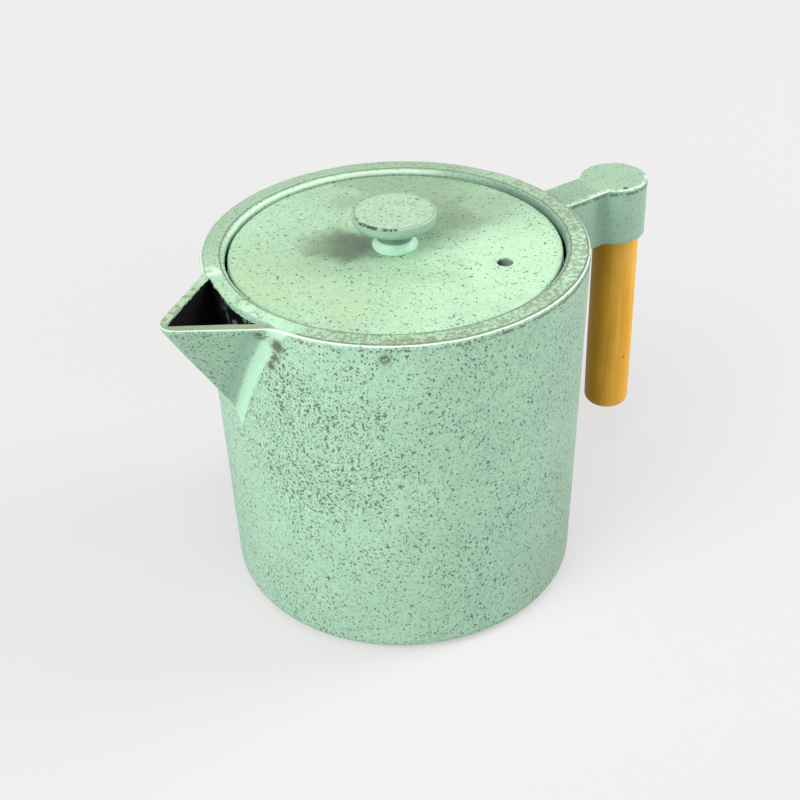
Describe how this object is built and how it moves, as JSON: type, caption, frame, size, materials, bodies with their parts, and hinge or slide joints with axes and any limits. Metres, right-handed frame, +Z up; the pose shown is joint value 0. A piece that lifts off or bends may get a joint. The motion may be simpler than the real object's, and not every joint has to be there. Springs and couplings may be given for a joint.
{
  "type": "teapot",
  "caption": "Cast iron teapot with an open triangular pouring lip, a flat inset lid with a knob, a lift-out tea basket and an upright wooden side grip.",
  "frame": {"origin": "centre of the flat base that the pot stands on", "axes": "+Z up along the axis of the pot, +X out towards the grip, so the pouring lip points along -X"},
  "size_m": [0.1997, 0.13, 0.139],
  "materials": {
    "pot_paint": "rough cast iron under pale mint green paint, black enamel inside",
    "lid_paint": "pale mint green paint with fine dark speckles",
    "knob_paint": "pale mint green paint, smooth turned side",
    "grip_wood": "honey coloured wood, satin oil",
    "basket_steel": "satin stainless steel",
    "fastener_steel": "plain stainless steel"
  },
  "bodies": {
    "pot": {"pot_casting": "pot_paint", "grip": "grip_wood", "grip_washer": "fastener_steel", "grip_bolt": "fastener_steel"},
    "basket": {"basket_flange": "basket_steel", "basket_wall": "basket_steel", "basket_floor": "basket_steel"},
    "lid": {"lid_plate": "lid_paint", "lid_knob": "knob_paint", "knob_washer": "fastener_steel", "knob_screw": "fastener_steel"}
  },
  "joints": [
    {"name": "basket_lift", "type": "slide", "parent": "pot", "child": "basket", "axis": [0, 0, 1], "range_m": [0, 0.12]},
    {"name": "lid_lift", "type": "slide", "parent": "basket", "child": "lid", "axis": [0, 0, 1], "range_m": [0, 0.06]}
  ]
}
